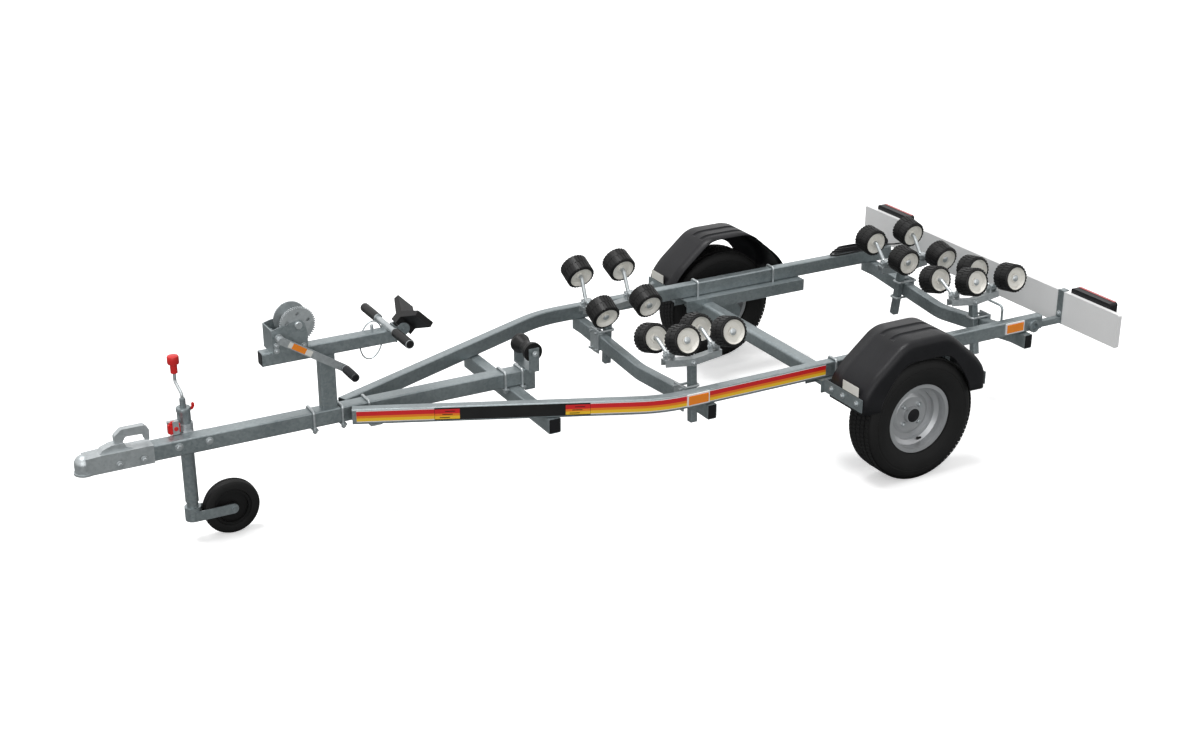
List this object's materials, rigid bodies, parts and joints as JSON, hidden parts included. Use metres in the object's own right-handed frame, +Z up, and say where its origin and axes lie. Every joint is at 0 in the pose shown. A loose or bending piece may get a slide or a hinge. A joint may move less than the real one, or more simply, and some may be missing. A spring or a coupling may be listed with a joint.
{
  "type": "boat trailer",
  "caption": "Single-axle galvanised boat trailer with tilting rubber roller cradles, a winch post with bow block, a jockey wheel and a light board.",
  "frame": {"origin": "on the ground, half-way along, on the centreline", "axes": "+X rearwards, +Y to the trailer's right, +Z up"},
  "size_m": [4.011, 1.68, 0.8676],
  "materials": {
    "galvanised_steel": "hot-dip galvanised, satin with spangle",
    "wheel_rim": "silver wheel paint",
    "tyre_rubber": "black rubber with moulded tread",
    "guard_plastic": "black moulded plastic",
    "jockey_hub": "dark pressed wheel centre",
    "solid_rubber": "solid black rubber",
    "winch_crank_steel": "bright zinc plate",
    "grip_rubber": "black rubber grips on a zinc bar",
    "board_white": "white board",
    "lamp_red": "red lens in a black housing",
    "reflector_orange": "orange reflector in a white frame",
    "lead_black": "black sheathed cable",
    "roller_rubber": "ribbed black rubber on a white hub"
  },
  "bodies": {
    "frame": {"drawbar": "galvanised_steel", "side_rail_left": "galvanised_steel", "side_rail_right": "galvanised_steel", "front_crossmember": "galvanised_steel", "front_cradle_crossmember": "galvanised_steel", "rear_cradle_crossmember": "galvanised_steel", "axle_beam": "galvanised_steel", "suspension_arms": "galvanised_steel", "u_bolts": "galvanised_steel", "cradle_posts": "galvanised_steel", "cradle_clamps": "galvanised_steel", "coupling_head": "galvanised_steel", "coupling_handle": "galvanised_steel", "jockey_clamp": "galvanised_steel", "jockey_outer_tube": "galvanised_steel", "jockey_crank": "galvanised_steel", "winch_post": "galvanised_steel", "winch_frame": "galvanised_steel", "keel_bracket": "galvanised_steel", "board_arms": "galvanised_steel", "mudguards": "guard_plastic", "bow_block": "solid_rubber", "bow_handle": "grip_rubber", "light_board": "board_white", "rear_lamps": "lamp_red", "reflectors": "reflector_orange", "lead_hank": "lead_black", "lead_plug": "lead_black", "lighting_lead": "lead_black"},
    "wheel_left": {"rim_left": "wheel_rim", "tyre_left": "tyre_rubber"},
    "wheel_right": {"rim_right": "wheel_rim", "tyre_right": "tyre_rubber"},
    "jockey_leg": {"jockey_inner_tube": "galvanised_steel"},
    "jockey_swivel": {"jockey_fork": "galvanised_steel"},
    "jockey_wheel": {"jockey_rim": "jockey_hub", "jockey_tyre": "solid_rubber"},
    "winch_drum": {"winch_drum": "galvanised_steel"},
    "winch_crank": {"winch_crank": "winch_crank_steel"},
    "keel_roller": {"keel_roller": "solid_rubber"},
    "cradle_beam_front_left": {"cradle_beam_front_left": "galvanised_steel"},
    "rocker_front_left_fore": {"rocker_front_left_fore": "galvanised_steel"},
    "rollers_front_left_fore": {"rollers_front_left_fore": "roller_rubber"},
    "rocker_front_left_aft": {"rocker_front_left_aft": "galvanised_steel"},
    "rollers_front_left_aft": {"rollers_front_left_aft": "roller_rubber"},
    "cradle_beam_front_right": {"cradle_beam_front_right": "galvanised_steel"},
    "rocker_front_right_fore": {"rocker_front_right_fore": "galvanised_steel"},
    "rollers_front_right_fore": {"rollers_front_right_fore": "roller_rubber"},
    "rocker_front_right_aft": {"rocker_front_right_aft": "galvanised_steel"},
    "rollers_front_right_aft": {"rollers_front_right_aft": "roller_rubber"},
    "cradle_beam_rear_left": {"cradle_beam_rear_left": "galvanised_steel"},
    "rocker_rear_left_fore": {"rocker_rear_left_fore": "galvanised_steel"},
    "rollers_rear_left_fore": {"rollers_rear_left_fore": "roller_rubber"},
    "rocker_rear_left_aft": {"rocker_rear_left_aft": "galvanised_steel"},
    "rollers_rear_left_aft": {"rollers_rear_left_aft": "roller_rubber"},
    "cradle_beam_rear_right": {"cradle_beam_rear_right": "galvanised_steel"},
    "rocker_rear_right_fore": {"rocker_rear_right_fore": "galvanised_steel"},
    "rollers_rear_right_fore": {"rollers_rear_right_fore": "roller_rubber"},
    "rocker_rear_right_aft": {"rocker_rear_right_aft": "galvanised_steel"},
    "rollers_rear_right_aft": {"rollers_rear_right_aft": "roller_rubber"}
  },
  "joints": [
    {"name": "wheel_left_spin", "type": "hinge", "parent": "frame", "child": "wheel_left", "pos_m": [1.0255, -0.718, 0.252], "axis": [0, -1, 0], "continuous": true},
    {"name": "wheel_right_spin", "type": "hinge", "parent": "frame", "child": "wheel_right", "pos_m": [1.0255, 0.718, 0.252], "axis": [0, -1, 0], "continuous": true},
    {"name": "jockey_slide", "type": "slide", "parent": "frame", "child": "jockey_leg", "axis": [0, 0, 1], "range_m": [-0.15, 0.015]},
    {"name": "jockey_swivel", "type": "hinge", "parent": "jockey_leg", "child": "jockey_swivel", "pos_m": [-1.5895, 0.077, 0.12], "axis": [0, 0, 1], "continuous": true},
    {"name": "jockey_wheel_spin", "type": "hinge", "parent": "jockey_swivel", "child": "jockey_wheel", "pos_m": [-1.4485, 0.077, 0.105], "axis": [0, -1, 0], "continuous": true},
    {"name": "winch_drum_spin", "type": "hinge", "parent": "frame", "child": "winch_drum", "pos_m": [-1.1885, 0, 0.803], "axis": [0, 1, 0], "continuous": true},
    {"name": "winch_crank_spin", "type": "hinge", "parent": "frame", "child": "winch_crank", "pos_m": [-1.2625, 0, 0.768], "axis": [0, 1, 0], "continuous": true},
    {"name": "keel_roller_spin", "type": "hinge", "parent": "frame", "child": "keel_roller", "pos_m": [-0.2745, 0, 0.527], "axis": [0, 1, 0], "continuous": true},
    {"name": "cradle_beam_front_left_tilt", "type": "hinge", "parent": "frame", "child": "cradle_beam_front_left", "pos_m": [0.2648, -0.33, 0.48], "axis": [0, 0.9986, -0.0523], "range_deg": [-12, 12]},
    {"name": "rocker_front_left_fore_tilt", "type": "hinge", "parent": "cradle_beam_front_left", "child": "rocker_front_left_fore", "pos_m": [0.1648, -0.32749, 0.52793], "axis": [1, 0, 0], "range_deg": [-12, 12]},
    {"name": "rollers_front_left_fore_spin", "type": "hinge", "parent": "rocker_front_left_fore", "child": "rollers_front_left_fore", "pos_m": [0.1648, -0.30995, 0.58531], "axis": [0, 0.9563, -0.2924], "continuous": true},
    {"name": "rocker_front_left_aft_tilt", "type": "hinge", "parent": "cradle_beam_front_left", "child": "rocker_front_left_aft", "pos_m": [0.3648, -0.32749, 0.52793], "axis": [1, 0, 0], "range_deg": [-12, 12]},
    {"name": "rollers_front_left_aft_spin", "type": "hinge", "parent": "rocker_front_left_aft", "child": "rollers_front_left_aft", "pos_m": [0.3648, -0.31095, 0.58561], "axis": [0, 0.9613, -0.2756], "continuous": true},
    {"name": "cradle_beam_front_right_tilt", "type": "hinge", "parent": "frame", "child": "cradle_beam_front_right", "pos_m": [0.2648, 0.33, 0.48], "axis": [0, 0.9986, 0.0523], "range_deg": [-12, 12]},
    {"name": "rocker_front_right_fore_tilt", "type": "hinge", "parent": "cradle_beam_front_right", "child": "rocker_front_right_fore", "pos_m": [0.1648, 0.32749, 0.52793], "axis": [1, 0, 0], "range_deg": [-12, 12]},
    {"name": "rollers_front_right_fore_spin", "type": "hinge", "parent": "rocker_front_right_fore", "child": "rollers_front_right_fore", "pos_m": [0.1648, 0.30119, 0.58186], "axis": [0, 0.8988, 0.4384], "continuous": true},
    {"name": "rocker_front_right_aft_tilt", "type": "hinge", "parent": "cradle_beam_front_right", "child": "rocker_front_right_aft", "pos_m": [0.3648, 0.32749, 0.52793], "axis": [1, 0, 0], "range_deg": [-12, 12]},
    {"name": "rollers_front_right_aft_spin", "type": "hinge", "parent": "rocker_front_right_aft", "child": "rollers_front_right_aft", "pos_m": [0.3648, 0.30599, 0.58395], "axis": [0, 0.9336, 0.3584], "continuous": true},
    {"name": "cradle_beam_rear_left_tilt", "type": "hinge", "parent": "frame", "child": "cradle_beam_rear_left", "pos_m": [1.7092, -0.243, 0.437], "axis": [0, 0.9877, -0.1564], "range_deg": [-12, 12]},
    {"name": "rocker_rear_left_fore_tilt", "type": "hinge", "parent": "cradle_beam_rear_left", "child": "rocker_rear_left_fore", "pos_m": [1.6092, -0.23549, 0.48441], "axis": [1, 0, 0], "range_deg": [-12, 12]},
    {"name": "rollers_rear_left_fore_spin", "type": "hinge", "parent": "rocker_rear_left_fore", "child": "rollers_rear_left_fore", "pos_m": [1.6092, -0.21996, 0.54236], "axis": [0, 0.9659, -0.2588], "continuous": true},
    {"name": "rocker_rear_left_aft_tilt", "type": "hinge", "parent": "cradle_beam_rear_left", "child": "rocker_rear_left_aft", "pos_m": [1.8092, -0.23549, 0.48441], "axis": [1, 0, 0], "range_deg": [-12, 12]},
    {"name": "rollers_rear_left_aft_spin", "type": "hinge", "parent": "rocker_rear_left_aft", "child": "rollers_rear_left_aft", "pos_m": [1.8092, -0.22611, 0.54367], "axis": [0, 0.9877, -0.1564], "continuous": true},
    {"name": "cradle_beam_rear_right_tilt", "type": "hinge", "parent": "frame", "child": "cradle_beam_rear_right", "pos_m": [1.7092, 0.243, 0.437], "axis": [0, 0.9877, 0.1564], "range_deg": [-12, 12]},
    {"name": "rocker_rear_right_fore_tilt", "type": "hinge", "parent": "cradle_beam_rear_right", "child": "rocker_rear_right_fore", "pos_m": [1.6092, 0.23549, 0.48441], "axis": [1, 0, 0], "range_deg": [-12, 12]},
    {"name": "rollers_rear_right_fore_spin", "type": "hinge", "parent": "rocker_rear_right_fore", "child": "rollers_rear_right_fore", "pos_m": [1.6092, 0.23026, 0.54418], "axis": [0, 0.9962, 0.0872], "continuous": true},
    {"name": "rocker_rear_right_aft_tilt", "type": "hinge", "parent": "cradle_beam_rear_right", "child": "rocker_rear_right_aft", "pos_m": [1.8092, 0.23549, 0.48441], "axis": [1, 0, 0], "range_deg": [-12, 12]},
    {"name": "rollers_rear_right_aft_spin", "type": "hinge", "parent": "rocker_rear_right_aft", "child": "rollers_rear_right_aft", "pos_m": [1.8092, 0.22404, 0.54331], "axis": [0, 0.9816, 0.1908], "continuous": true}
  ],
  "couplings": [
    {"joint": "winch_crank_spin", "follows": "winch_drum_spin", "ratio": -4}
  ]
}
